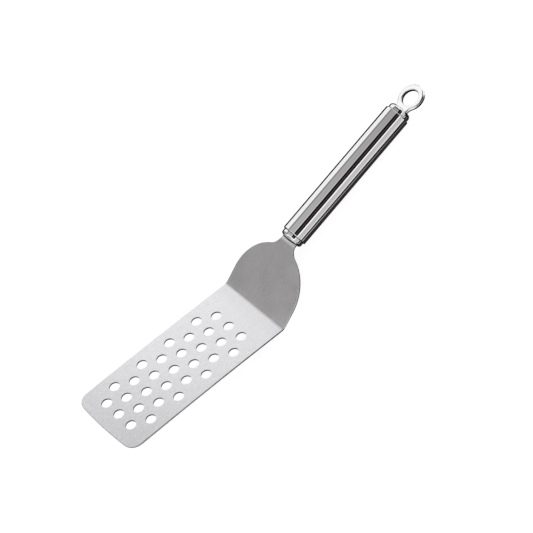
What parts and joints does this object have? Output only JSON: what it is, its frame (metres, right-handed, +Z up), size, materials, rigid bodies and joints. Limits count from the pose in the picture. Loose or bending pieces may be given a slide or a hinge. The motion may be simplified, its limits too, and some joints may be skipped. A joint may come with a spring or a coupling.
{
  "type": "burger spatula",
  "caption": "Kitchen turner with a flat perforated steel blade on a raised shoulder, a round tubular handle and a ring to hang it by.",
  "frame": {"origin": "on the floor it lies on, under the middle of the whole outline", "axes": "+X towards the hanging ring, -X towards the blade's front edge, +Y across the blade, +Z up from the floor; it lies at rest on the heel fold and the rear rim of the handle tube"},
  "size_m": [0.3136, 0.0642, 0.0471],
  "materials": {
    "blade_steel": "fine brushed grain along the blade",
    "handle_steel": "polished stainless steel",
    "cap_steel": "polished stainless steel",
    "ring_steel": "satin stainless steel"
  },
  "bodies": {
    "root": {"blade": "blade_steel", "front_cap": "cap_steel", "handle_tube": "handle_steel", "rear_cap": "cap_steel", "hanging_ring": "ring_steel"}
  },
  "joints": []
}
